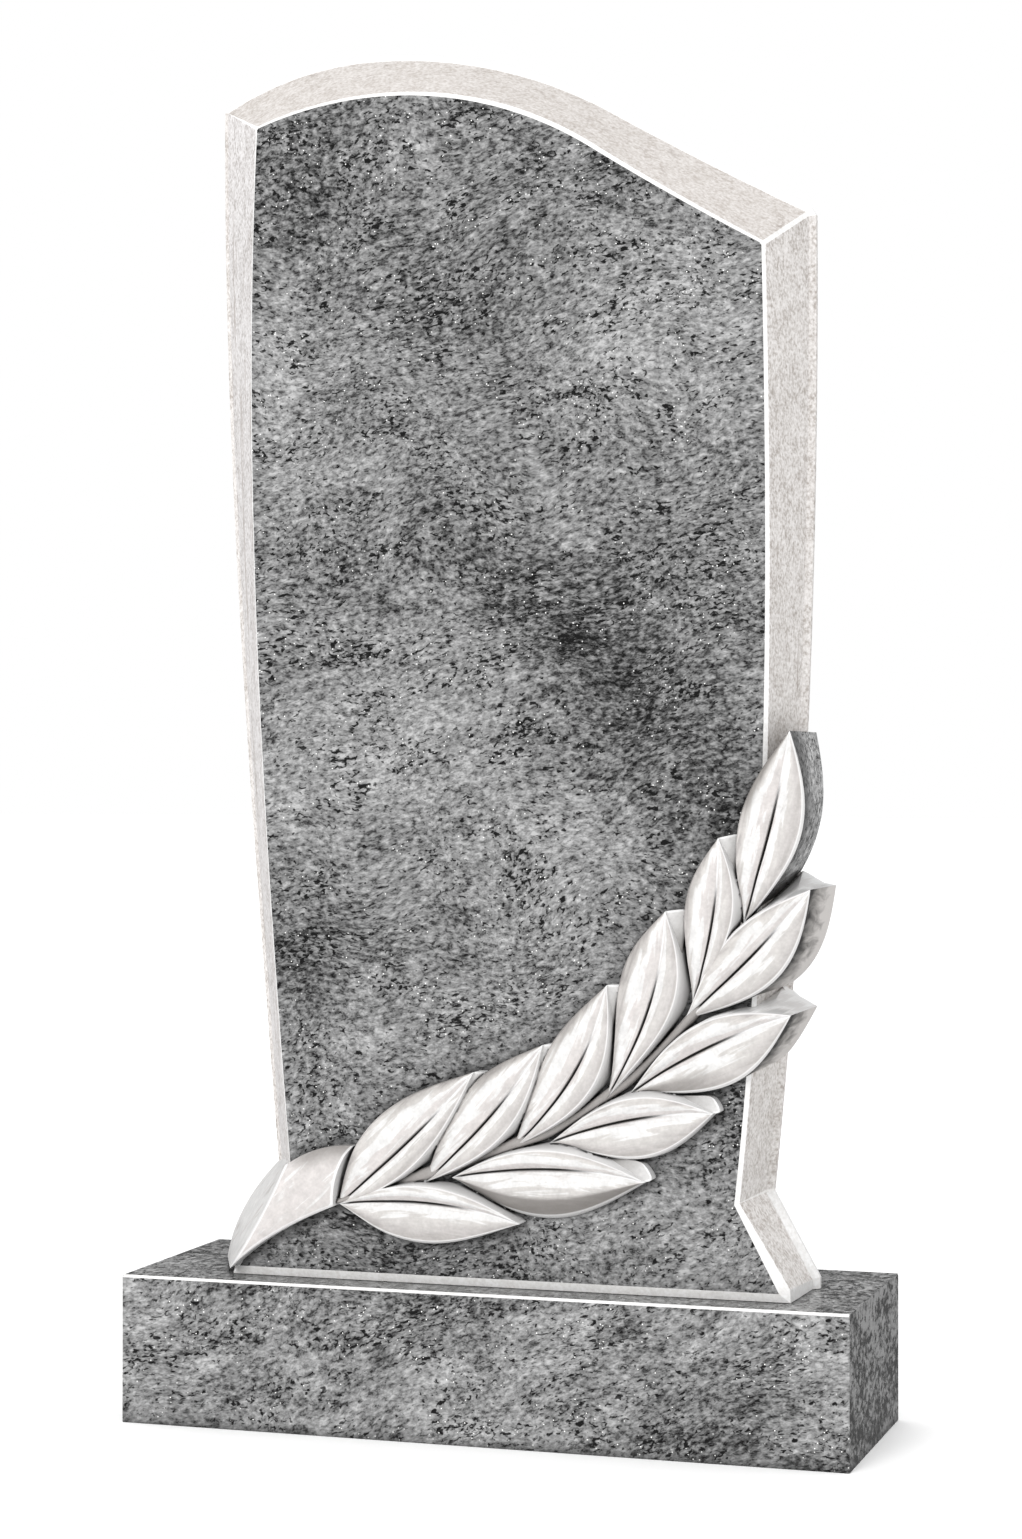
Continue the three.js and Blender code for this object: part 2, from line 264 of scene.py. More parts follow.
# Carving in the front. Heights over the polished face, widths and places in mm.
carving = {
    "leafRelief": 17,
    "leafBaseRelief": 8,
    "leafTilt": 4,  # one half of a leaf rises by this much, the other one sinks
    "leafCrown": 4,  # swelling of each half
    "ribDepth": 3,
    "ribShare": 0.05,  # half width of the groove along the middle, as a share of the half width
    "ribEnd": 0.8,
    "rimShare": 0.055,  # the edge of a leaf is rounded over this share of its half width
    "rimDrop": 1.6,
    "beadShare": 0.11,  # a slight bead runs along the edge, this far in
    "bead": 0.45,
    "pleat": 0.55,  # height of the soft pleats that run along a leaf
    "wallDraft": 1.5,
    "root": 3,  # how far the carving reaches into the block
    "undercut": 7,
    "foldDrop": 9,
    "bedStart": 0.55,  # the stone beside a tip starts at this share of the leaf's length
    "bedStep": 2.5,
    "bedFall": 5,
    "bedHollow": 1.5,
    "bedStops": {1: (0.8,), 2: (0.72, 0.9)},  # share of the rim that faces each outer corner of a bed
    "bedTip": (0.35, 0.25),  # beside the tip the step is this share of itself, over that share of the rim
    "bedSteps": 24,
    "bedAcross": 10,
    "leafSteps": 80,
    "halfSteps": 19,
    "wallSteps": {"leaf": 7, "throughLeaf": 22, "bed": 6, "twig": 3, "stem": 20},
    "twigRelief": 11,
    "twigHalfWidth": 6,
    "twigEndHalfWidth": 3,
    "twigStart": (0.35, 0.15),  # it starts with this share of its width, over that share of its length
    "twigSteps": 120,
    "twigAcross": 12,
    "stemRelief": 16,
    "stemCrown": 4,
    "stemSteps": 28,
    "stemAcross": 32,
    "stemRoll": 5,  # the stem's upper edge rolls over by this much
    "stemRollWidth": 0.22,
    "stemRollEnd": (0.42, 0.12),  # from this share of the stem's length on, over that share
    "stemEdge": 1.2,  # and its edges are rounded by this much
    "stemEdgeWidth": 0.03,
}

# Each leaf starts on the twig at base and ends at tip. bow bends its middle sideways, left and right are its
# half widths seen from base to tip, skew moves the widest place, and high tells which half stands higher.
# wall is how far the wall of that half spreads near the tip, or shares of the length and the spread there.
# Leaves that pass the stele's side go through to its back, and greyWall is the surface of their right wall.
# The right half bends down from the share in fold on. tipShade greys the left rim near the tip.
# bed holds the corners, seen from the tip, of the stone left standing beside it. shadow greys the lower half:
# from which share of the half width, over which share, up to which share of the length, over which, how much.
leaves = [
    {"base": (-120, 62), "tip": (-3, 172), "bow": -4, "left": 32, "right": 18, "skew": 0.88, "high": -1,
     "wall": 4, "tipShade": 0.3, "bed": ((9, 0),)},
    {"base": (-49, 81), "tip": (54, 195), "bow": -6.5, "left": 29, "right": 19, "skew": 1.1, "high": -1,
     "wall": 4, "tipShade": 0.5, "bed": ((11, 1),)},
    {"base": (25, 112), "tip": (106, 243), "bow": -14, "left": 28.5, "right": 20, "skew": 1.13, "high": -1,
     "wall": 4, "tipShade": 0.4, "bed": ((13, 0),)},
    {"base": (99, 148), "tip": (153, 301), "bow": -12.5, "left": 29.5, "right": 20, "skew": 1.45, "high": -1,
     "wall": 5, "tipShade": 0.3, "bed": ((16, 2),)},
    {"base": (171, 222), "tip": (195, 358), "bow": -6.5, "left": 24.5, "right": 17, "skew": 1.32, "high": -1,
     "wall": 8, "tipShade": 0.3, "bed": ((17, 4),)},
    {"base": (213, 292), "tip": (251, 440), "bow": -3.5, "left": 25, "right": 24.5, "skew": 1.05, "high": 0,
     "through": True, "greyWall": "polishedWall", "tipShade": 0.8},
    {"base": (-119, 62), "tip": (35, 54), "bow": 9.5, "left": 14, "right": 33, "skew": 0.94, "high": 1,
     "wall": 2},
    {"base": (-24, 87), "tip": (137, 91), "bow": 9, "left": 16, "right": 40, "skew": 0.97, "high": 1,
     "wall": 8, "fold": 0.55, "shadow": (0.55, 0.08, 1, 0.1, 0.75), "bed": ((-4, 15), (6, 1))},
    {"base": (56, 117), "tip": (191, 146), "bow": 7, "left": 17.5, "right": 31.5, "skew": 1.16, "high": 1,
     "wall": 8, "bed": ((-2, 13), (6, 0))},
    {"base": (121, 157), "tip": (252, 223), "bow": 6, "left": 19.5, "right": 33, "skew": 1.16, "high": 1,
     "wall": ((0.45, 0.8, 0.9, 0.93, 1), (0, 15, 19, 8, 0)), "through": True, "greyWall": "wall",
     "shadow": (0.3, 0.3, 0.3, 0.3, 0.6)},
    {"base": (166, 217), "tip": (267, 319), "bow": -3.5, "left": 22.5, "right": 25.5, "skew": 1.09, "high": 1,
     "wall": ((0.4, 0.7, 0.93, 0.96, 1), (0, 13, 22, 6, 0)), "through": True, "greyWall": "wall"},
]
twigLine = [(-121, 64), (35, 118), (109, 160), (173, 222), (213, 292)]
stemUpper = [(-107, 109), (-140, 110), (-164, 92)]
stemRidge = [(-164, 92), (-178, 57), (-211, 7)]
stemLower = [(-122, 61), (-180, 38), (-211, 7)]
stemCut = [(-107, 109), (-121, 88), (-122, 61)]
stemBack = [(-199, 91), (-246, 48), (-254, 0)]


def bent(points, t):
    # quadratic curve through its start and end, pulled by the middle point
    a, b, c = (np.array(p, float) for p in points)
    t = np.atleast_1d(t)[:, None]
    return a * (1 - t) ** 2 + 2 * b * t * (1 - t) + c * t * t


def leafAxes(leaf):
    # where a leaf starts, the way to its tip and the direction across it
    base = np.array(leaf["base"], float)
    along = np.array(leaf["tip"], float) - base
    return base, along, np.array([-along[1], along[0]]) / np.linalg.norm(along)


def leafWidth(leaf, s, left):
    # half width at the share s of the length
    return np.where(left, leaf["left"], leaf["right"]) * np.sin(np.pi * s ** leaf["skew"])


def leafBow(leaf, s):
    return leaf["bow"] * 4 * s * (1 - s)


def raised(flat, relief):
    # a grid of points that stand this high over the polished face
    return np.dstack([flat[..., 0], faceY - relief, flat[..., 1]])


def pushedBack(rows, depth):
    rear = rows.copy()
    rear[..., 1] = depth
    return rear


def carvedForm(name, rows, rear, wallSteps, frontZone, wallZone):
    # a grid that faces the front, walls from its rim back to the rear points, and a flat rear
    last, width = rows.shape[0] - 1, rows.shape[1] - 1
    rim = [(i, 0) for i in range(last)] + [(last, j) for j in range(width)]
    rim += [(i, width) for i in range(last, 0, -1)] + [(0, j) for j in range(width, 0, -1)]
    # where a row runs out into a point, that point counts once
    rim = [at for k, at in enumerate(rim) if np.linalg.norm(rows[at] - rows[rim[k - 1]]) > 1e-3]
    points = [tuple(p) for p in rows.reshape(-1, 3)]
    faces = []
    for i in range(last):
        for j in range(width):
            a = i * (width + 1) + j
            faces.append([a, a + width + 1, a + width + 2, a + 1])
    kinds = [frontZone] * len(faces)
    ring = [i * (width + 1) + j for i, j in rim]
    for k in range(1, wallSteps + 1):
        start = len(points)
        points += [tuple(rows[at] + (rear[at] - rows[at]) * (k / wallSteps)) for at in rim]
        following = list(range(start, len(points)))
        for a in range(len(ring)):
            b = (a + 1) % len(ring)
            faces.append([ring[a], following[a], following[b], ring[b]])
        ring = following
    kinds += [wallZone] * (len(faces) - len(kinds))
    faces.append(ring)
    kinds.append(zones["back"])
    return closedMesh(name, placed(points), faces, kinds)


def leafForm(number, leaf):
    c = carving
    base, along, side = leafAxes(leaf)
    half = 0.5 - 0.5 * np.cos(np.pi * np.linspace(0, 1, c["halfSteps"] + 1))
    v = np.concatenate([-half[::-1], half[1:]])[None, :]  # from the right rim at -1 to the left one at 1
    s = np.linspace(0, 1, c["leafSteps"] + 1)[:, None]  # share of the length
    size = np.abs(v)

    def place(spread):
        offset = leafBow(leaf, s) + v * (leafWidth(leaf, s, v > 0) + spread)
        return base + along * s[..., None] + side * offset[..., None]

    rise = c["leafBaseRelief"] + (c["leafRelief"] - c["leafBaseRelief"]) * smooth(s / 0.3)
    lobes = c["leafCrown"] * np.sin(np.pi * size) + leaf["high"] * c["leafTilt"] * v
    groove = c["ribDepth"] * np.clip(1 - size / c["ribShare"], 0, 1) * smooth((c["ribEnd"] - s) / 0.3)
    rim = c["rimDrop"] * smooth((size - 1 + c["rimShare"]) / c["rimShare"]) ** 2
    bead = c["bead"] * np.exp(-((1 - size - c["beadShare"] / 2) / (c["beadShare"] / 3)) ** 2)
    phase = 1.6 * size + 0.5 * s + 0.37 * number  # the last part lets each leaf's pleats start elsewhere
    wave = np.sin(2 * np.pi * phase) * np.sin(np.pi * np.clip(size * 1.1, 0, 1))
    pleats = c["pleat"] * wave * np.sin(np.pi * s ** 0.8)
    folded = 0
    if "fold" in leaf:
        folded = c["foldDrop"] * np.clip((-v - leaf["fold"]) / (1 - leaf["fold"]), 0, 1)
    body = np.sin(np.pi * s) ** 0.6
    relief = rise + body * (lobes - groove - rim + bead + pleats - folded)

    draft = (c["wallDraft"] if "wall" in leaf else -c["undercut"]) * np.sin(np.pi * s)
    spread = leaf.get("wall", 0)
    spread = np.interp(s, *spread) if isinstance(spread, tuple) else spread * np.sin(np.pi * s ** 3)
    nearTip = np.where(v * leaf["high"] > 0, spread, 0)
    through = leaf.get("through")
    rear = pushedBack(raised(place(draft + nearTip), relief), backY if through else faceY + c["root"])
    steps = c["wallSteps"]["throughLeaf" if through else "leaf"]
    rows = raised(place(0), relief)
    return carvedForm(f"leaf{number}", rows, rear, steps, zones["leaf"] + number, zones["leafWall"] + number)


def bedForm(number, leaf):
    # the stone left standing between a leaf's tip and the next leaf, lower than both
    c = carving
    base, along, side = leafAxes(leaf)
    high = leaf["high"]
    t = np.linspace(0, 1, c["bedSteps"] + 1)
    s = c["bedStart"] + (1 - c["bedStart"]) * t
    offset = leafBow(leaf, s) + high * leafWidth(leaf, s, high > 0)
    rim = base + along * s[:, None] + side * offset[:, None]
    corners = [rim[0]] + [leaf["tip"] + np.array(corner, float) for corner in leaf["bed"]] + [rim[-1]]
    stops = [0, *c["bedStops"][len(leaf["bed"])], 1]
    outer = np.column_stack([np.interp(t, stops, [corner[k] for corner in corners]) for k in (0, 1)])
    for _ in range(2):
        outer[1:-1] = (outer[:-2] + 2 * outer[1:-1] + outer[2:]) / 4  # takes the sharpness off the corners
    v = np.linspace(0, 1, c["bedAcross"] + 1)
    flat = rim[:, None, :] + (outer - rim)[:, None, :] * v[None, :, None]
    drop = c["bedStep"] + (c["bedFall"] * v + c["bedHollow"] * np.sin(np.pi * v))[None, :]
    least, run = c["bedTip"]
    rows = raised(flat, c["leafRelief"] - drop * (least + (1 - least) * smooth((1 - t) / run))[:, None])
    rear = pushedBack(rows, faceY + c["root"])
    return carvedForm(f"bed{number}", rows, rear, c["wallSteps"]["bed"], zones["bed"], zones["bed"])


def twigForm():
    c = carving
    knots = np.array([twigLine[0], *twigLine, twigLine[-1]], float)
    t = np.linspace(0, len(twigLine) - 1, c["twigSteps"] + 1)
    k = np.minimum(t.astype(int), len(twigLine) - 2)
    u = (t - k)[:, None]
    p0, p1, p2, p3 = (knots[k + i] for i in range(4))
    line = p1 + 0.5 * u * (p2 - p0 + u * (2 * p0 - 5 * p1 + 4 * p2 - p3 + u * (3 * (p1 - p2) + p3 - p0)))
    tangent = np.gradient(line, axis=0)
    tangent /= np.linalg.norm(tangent, axis=1)[:, None]
    side = np.column_stack([-tangent[:, 1], tangent[:, 0]])
    v = np.linspace(-1, 1, c["twigAcross"] + 1)[None, :]
    share = (t / t[-1])[:, None]
    half = c["twigHalfWidth"] + (c["twigEndHalfWidth"] - c["twigHalfWidth"]) * share
    least, run = c["twigStart"]
    half = half * (least + (1 - least) * smooth(share / run))
    flat = line[:, None, :] + side[:, None, :] * (half * v)[..., None]
    rows = raised(flat, c["twigRelief"] * (0.5 + 0.5 * np.sqrt(1 - v ** 2)) + 0 * share)
    rear = pushedBack(rows, faceY + c["root"])
    return carvedForm("twig", rows, rear, c["wallSteps"]["twig"], zones["twig"], zones["twig"])


def stemForm():
    c = carving
    steps = c["stemSteps"]
    t = np.linspace(0, 1, steps + 1)
    outer = np.vstack([bent(stemUpper, t), bent(stemRidge, t)[1:]])
    last = len(outer) - 1
    share = np.linspace(0, 1, last + 1)
    lower = bent(stemLower, share)
    v = 0.5 - 0.5 * np.cos(np.pi * np.linspace(0, 1, c["stemAcross"] + 1))
    cut = bent(stemCut, v) - (outer[0] + (lower[0] - outer[0]) * v[:, None])
    flat = outer[:, None, :] + (lower - outer)[:, None, :] * v[None, :, None]
    flat = flat + cut[None, :, :] * ((1 - share) ** 4)[:, None, None]
    across = v[None, :]
    along = share[:, None]
    swell = c["stemCrown"] * 4 * across * (1 - across) * np.sqrt(1 - along)
    end, run = c["stemRollEnd"]
    upper = 1 - smooth((along - end) / run)
    roll = c["stemRoll"] * upper * (1 - smooth(across / c["stemRollWidth"])) ** 2
    inwards = np.minimum(across, 1 - across) / c["stemEdgeWidth"]
    edges = c["stemEdge"] * (1 - smooth(inwards)) * (1 - along ** 4)
    rows = raised(flat, c["stemRelief"] + swell - roll - edges)
    rear = pushedBack(rows, backY)
    back = bent(stemBack, np.linspace(0, 1, last - steps + 1))
    rear[steps:, 0, 0] = back[:, 0]
    rear[steps:, 0, 2] = back[:, 1]
    rear[last, :, 0] = back[-1][0]
    rear[last, :, 2] = back[-1][1]
    return carvedForm("stem", rows, rear, c["wallSteps"]["stem"], zones["stem"], zones["stemWall"])


def united(block, forms):
    # small bevels on the block, then every carved form joined to it, as one mesh
    bevel = block.modifiers.new("arris", "BEVEL")
    bevel.width = stele["arris"] * mm
    bevel.segments = 2
    bevel.limit_method = "ANGLE"
    bevel.angle_limit = math.radians(stele["arrisAngle"])
    for form in forms:
        join = block.modifiers.new(form.name, "BOOLEAN")
        join.operation = "UNION"
        join.solver = "MANIFOLD"
        join.object = form
    depsgraph = bpy.context.evaluated_depsgraph_get()
    joined = bpy.data.meshes.new_from_object(block.evaluated_get(depsgraph))
    block.modifiers.clear()
    block.data = joined
    for form in forms:
        bpy.data.objects.remove(form)
    return block


def cleanUp(mesh, together=0.002 * mm, thin=0.005 * mm, small=0.3 * mm):
    # where forms almost touch, the union leaves slivers, and pairs of faces that lie back to back
    bm = bmesh.new()
    bm.from_mesh(mesh)
    bmesh.ops.remove_doubles(bm, verts=bm.verts, dist=together)
    bmesh.ops.dissolve_degenerate(bm, dist=thin, edges=bm.edges)
    split = [face for face in bm.faces if len(face.verts) > 4 or face.calc_area() < small ** 2]
    bmesh.ops.triangulate(bm, faces=split)
    sameCorners = {}
    for face in bm.faces:
        sameCorners.setdefault(frozenset(face.verts), []).append(face)
    pairs = [face for group in sameCorners.values() if len(group) > 1 for face in group]
    bmesh.ops.delete(bm, geom=pairs, context="FACES")
    bm.to_mesh(mesh)
    openEdges = sum(not edge.is_manifold for edge in bm.edges)
    bm.free()
    print("stele joined:", len(mesh.polygons), "faces,", openEdges, "open edges")


forms = [stemForm(), twigForm()]
forms += [leafForm(number, leaf) for number, leaf in enumerate(leaves)]
forms += [bedForm(number, leaf) for number, leaf in enumerate(leaves) if "bed" in leaf]
steleObject = united(blockForm(), forms)
cleanUp(steleObject.data)

# How the carving is toned. Places and ways in mm.
marks = {
    "upperLeaves": 6,  # so many leaves have no painted highlight line along their left rim
    "noLine": 5,  # they are marked as this much further from it
    "tipShade": (0.6, 0.3, 0.45, 0.2),  # from this share of the half width, over, of the length, over
    "wallTones": (-0.25, 0.8),  # tone at the front of an upper wall, and the change to its back
    "stemTones": (0.15, 0.45),  # the stem's front and its wall
    "stemEdge": 1.2,  # half width of the painted highlight lines along the stem's edges
    "stemShade": (0.65, 18),  # greyest along the upper edge, fading over this way
    "bedShade": (45, 0.1, 0.8),  # full at this way from the tip, and the least and the most
    "bedEdge": 0.7,
    "twigShade": (-0.8, 0.5, 0.5),
}


def nearest(points, others):
    # way from each point to the nearest of the others
    return np.min([np.linalg.norm(points - other, axis=1) for other in others], axis=0)


def read(collection, name, count, kind=float):
    values = np.zeros(count, kind)
    collection.foreach_get(name, values)
    return values


def markLeaf(number, leaf, flat):
    # place, edge and share of points that lie in one leaf or in its wall
    base, along, side = leafAxes(leaf)
    length = np.linalg.norm(along)
    s = np.clip((flat - base) @ along / length ** 2, 0.001, 0.999)
    local = (flat - base) @ side - leafBow(leaf, s)
    halfWidth = leafWidth(leaf, s, local > 0)
    rib = smooth((carving["ribEnd"] + 0.03 - s) / 0.3) * smooth(s / 0.06)
    gap = np.clip(halfWidth * (1 - carving["rimShare"]) - np.abs(local), 0, None) * mm
    if number < marks["upperLeaves"]:
        gap[local > 0] += marks["noLine"] * mm
    v = np.clip(local / np.maximum(halfWidth, 0.1), -1.2, 1.2)
    shade = np.zeros(len(s))
    if "shadow" in leaf:
        inset, insetRun, upTo, upToRun, amount = leaf["shadow"]
        shade = amount * smooth((-v - inset) / insetRun) * (1 - smooth((s - upTo) / upToRun))
    if "tipShade" in leaf:
        inset, insetRun, start, run = marks["tipShade"]
        shade = leaf["tipShade"] * smooth((v - inset) / insetRun) * smooth((s - start) / run)
    place = np.column_stack([local * mm, s * length * mm, np.full(len(s), 0.31 * (number + 1))])
    return place, np.column_stack([gap, rib, np.zeros(len(s))]), np.column_stack([v, s, shade])


def markCarving(mesh):
    # tells the carved marble's material where a point lies in its leaf:
    # leafPlace is across and along in metres and a number of its own; leafEdge is the way to the rim in
    # metres, how deep the middle groove is cut there and how far back on the wall the point lies;
    # leafShare is the share of the half width, of the length, and how far the place is shaded
    zoneOf = read(mesh.attributes["zone"].data, "value", len(mesh.polygons), int)
    cornerZone = np.repeat(zoneOf, read(mesh.polygons, "loop_total", len(mesh.polygons), int))
    cornerVertex = read(mesh.loops, "vertex_index", len(mesh.loops), int)
    vertices = read(mesh.vertices, "co", len(mesh.vertices) * 3).reshape(-1, 3)
    corners = (vertices[cornerVertex] - [0, 0, undersideZ]) / mm
    flat = corners[:, [0, 2]]
    front = faceY - carving["leafRelief"]
    depthShare = np.clip((corners[:, 1] - front) / (backY - front), 0, 1)
    place = np.tile([1.0, 0.0, 0.0], (len(flat), 1))
    edge = place.copy()
    share = np.tile([0.5, 0.5, 0.0], (len(flat), 1))
    for number, leaf in enumerate(leaves):
        wallPoints = cornerZone == zones["leafWall"] + number
        mine = wallPoints | (cornerZone == zones["leaf"] + number)
        place[mine], edge[mine], share[mine] = markLeaf(number, leaf, flat[mine])
        if leaf.get("through"):
            # on the upper wall the painted light and shade change with the depth instead
            upper = wallPoints & (place[:, 0] > 0)
            share[upper, 0] = marks["wallTones"][0] + marks["wallTones"][1] * depthShare[upper]
    stone = cornerZone >= zones["stem"]
    axis = np.array(stemCut[1], float) - stemLower[2]
    axis /= np.linalg.norm(axis)
    offset = flat[stone] - stemLower[2]
    place[stone] = np.column_stack([offset @ [-axis[1], axis[0]] * mm + 1, offset @ axis * mm,
                                    np.full(stone.sum(), 5.0)])
    t = np.linspace(0, 1, 60)
    # painted highlight lines along the stem's ridge, lower edge and cut
    highlightedEdges = np.vstack([bent(stemRidge, t), bent(stemLower, t), bent(stemCut, t)])
    edge[stone, 0] = np.clip(nearest(flat[stone], highlightedEdges) - marks["stemEdge"], 0, None) * mm
    cutTone, wallTone = marks["stemTones"]
    share[stone, 0] = np.where(cornerZone[stone] == zones["stemWall"], wallTone, cutTone)
    amount, way = marks["stemShade"]
    share[stone, 2] = amount * (1 - smooth(nearest(flat[stone], bent(stemUpper, t[:40])) / way))
    bed = cornerZone == zones["bed"]
    bedLeaves = [leaf for leaf in leaves if "bed" in leaf]
    tips = np.array([leaf["tip"] for leaf in bedLeaves], float)
    way, least, most = marks["bedShade"]
    share[bed, 2] = np.clip(nearest(flat[bed], tips) / way, least, most)
    # painted highlight along the outer top edge of each bed
    bedEdges = np.vstack([np.linspace(tip + leaf["bed"][k], tip + np.array(corner), 20)
                          for tip, leaf in zip(tips, bedLeaves)
                          for k, corner in enumerate([*leaf["bed"][1:], (0, 0)])])
    edge[bed, 0] = np.clip(nearest(flat[bed], bedEdges) - marks["bedEdge"], 0, None) * mm
    # painted shade: the twig between the leaves is greyed
    share[cornerZone == zones["twig"]] = marks["twigShade"]
    edge[:, 2] = depthShare
    for name, values in (("leafPlace", place), ("leafEdge", edge), ("leafShare", share)):
        mesh.attributes.new(name, "FLOAT_VECTOR", "CORNER").data.foreach_set("vector", values.ravel())
    return zoneOf


def markCavities(mesh, zoneOf, reach=8 * mm, rays=32):
    # how open each point of the carving is to its surroundings, from 0 in a deep corner to 1 in the open
    openness = np.ones(len(mesh.vertices))
    carved = sorted({v for p in mesh.polygons if zoneOf[p.index] >= zones["leaf"] for v in p.vertices})
    tree = BVHTree.FromPolygons([v.co for v in mesh.vertices], [list(p.vertices) for p in mesh.polygons])
    golden = math.pi * (3 - math.sqrt(5))
    directions = []
    for k in range(rays):
        height = math.sqrt(1 - (k + 0.5) / rays)
        ring = math.sqrt(1 - height * height)
        directions.append(Vector((ring * math.cos(k * golden), ring * math.sin(k * golden), height)))
    up = Vector((0, 0, 1))
    for index in carved:
        vertex = mesh.vertices[index]
        turn = up.rotation_difference(vertex.normal)
        start = vertex.co + vertex.normal * 0.3 * mm
        free = 0
        for direction in directions:
            distance = tree.ray_cast(start, turn @ direction, reach)[3]
            free += 1 if distance is None else distance / reach
        openness[index] = free / rays
    mesh.attributes.new("openness", "FLOAT", "POINT").data.foreach_set("value", openness)


# Plinth
plinth = {
    "arris": 2,  # the long top edges are ground off by this much
    "rubbed": 0.7,  # the other edges are only rubbed round
}


def plinthForm():
    low, high = plinthLow, plinthHigh
    cut = plinth["arris"] * mm
    section = [(low.y, low.z), (high.y, low.z), (high.y, high.z - cut), (high.y - cut, high.z),
               (low.y + cut, high.z), (low.y, high.z - cut)]
    count = len(section)
    points = [(x, y, z) for x in (low.x, high.x) for y, z in section]
    faces = [list(range(count)), list(range(count, 2 * count))]
    faces += [[i, (i + 1) % count, count + (i + 1) % count, count + i] for i in range(count)]
    mesh = bpy.data.meshes.new("Plinth")
    mesh.from_pydata(points, [], faces)
    bm = bmesh.new()
    bm.from_mesh(mesh)
    bmesh.ops.recalc_face_normals(bm, faces=bm.faces)
    square = [e for e in bm.edges if e.calc_face_angle() > math.radians(60)]
    bmesh.ops.bevel(bm, geom=square, offset=plinth["rubbed"] * mm, segments=3, profile=0.5, affect="EDGES")
    bm.to_mesh(mesh)
    bm.free()
    return linked("Plinth", mesh)


plinthObject = plinthForm()
print("plinth made")


def addNode(tree, kind, inputs=(), out=0, stops=None, **settings):
    # a shader node with its settings, and one of its outputs, or all of them for None; inputs are values or
    # the outputs that feed them, by name or number or as a list in the node's order
    made = tree.nodes.new("ShaderNode" + kind)
    for name, value in settings.items():
        setattr(made, name, value)
    for socket, value in inputs.items() if isinstance(inputs, dict) else enumerate(inputs):
        if isinstance(value, bpy.types.NodeSocket):
            tree.links.new(value, made.inputs[socket])
        else:
            made.inputs[socket].default_value = value
    if stops:
        ramp = made.color_ramp.elements
        for position, colour in stops[1:-1]:
            ramp.new(position).color = colour
        for element, (position, colour) in ((ramp[0], stops[0]), (ramp[len(ramp) - 1], stops[-1])):
            element.position = position
            element.color = colour
    return made.outputs if out is None else made.outputs[out]


def newMaterial(name, roughness, ior=1.55):
    # a material, and the function that adds nodes to it
    material = bpy.data.materials.new(name)
    material.use_nodes = True
    shader = material.node_tree.nodes["Principled BSDF"]
    shader.inputs["Roughness"].default_value = roughness
    shader.inputs["IOR"].default_value = ior  # calcite
    return material, partial(addNode, material.node_tree)


def dressed(material, feeds):
    # links what was built to the inputs of the material's shader
    tree = material.node_tree
    for socket, output in feeds.items():
        tree.links.new(output, tree.nodes["Principled BSDF"].inputs[socket])
    return material


def perSize(size):
    # noise scale for a pattern of that size in mm
    return 1 / (size * mm)


# Polished marble: grey flakes with dark gaps, swarms of near-black specks, and painted glints,
# white dots that stand in for crystals catching the light.
# Sizes in mm; flakes and specks are drawn about twice as coarse as they are, so that they show.
polished = {
    # size, detail, roughness and distortion of each noise
    "noises": {"grain": (3.4, 2, 0.75, 0.25), "speck": (2.8, 1, 0.5, 0.6), "swarm": (30, 2, 0.6, 0.5),
               "patch": (22, 4, 0.7, 0.4), "cloud": (150, 2, 0.4, 0)},
    "shares": {"grain": 1.15, "patch": 0.5, "cloud": 0.3},  # how much each of them adds to the tone
    "streakAngle": 9,  # degrees, the streaks rise to the right
    "stretch": (1.8, 1, 1),  # the streaks are drawn out by this much along x, y and z before they are turned
    "drift": 150,  # the streaks bend over this length
    "driftBy": 45,
    "specks": (0.63, 0.69, -0.35),  # they show from the first to the second, and darken by the third
    "glintSpacing": 5,
    "glintSize": 0.6,
    "glintSwarm": (0.47, 0.52),  # how thick the swarm has to be
    "glintColour": "#e4e4e2",
    "cornerReach": 11,
    "cornerLeast": 0.3,  # share of the light that is left in the closest corner
    "roughness": 0.3,
    # painted light and shade: the whole colour is scaled by this, up or down for copies on faces that catch
    # more or less light
    "shade": 1,
    "tones": [(0.2, 10), (0.36, 66), (0.46, 99), (0.54, 115), (0.64, 133), (0.8, 162)],
    # dark and light clouds in the upright stone:
    # x and height of the middle, half length, half width, angle and tone
    "clouds": [(140, 565, 300, 68, -46, -0.15), (0, 885, 170, 70, -50, -0.07),
               (-120, 695, 130, 60, 0, -0.09), (-150, 370, 110, 50, 80, -0.12),
               (-150, 1010, 90, 60, 30, -0.08), (80, 1000, 80, 40, -20, -0.03),
               (150, 905, 120, 80, 60, 0.05), (-80, 560, 150, 75, 20, 0.1), (60, 485, 110, 60, -40, 0.1),
               (-170, 850, 90, 50, 80, 0.1), (150, 755, 110, 50, 0, -0.06), (-60, 1010, 90, 60, 0, 0.08),
               (40, 190, 230, 70, 0, 0.06)],
}


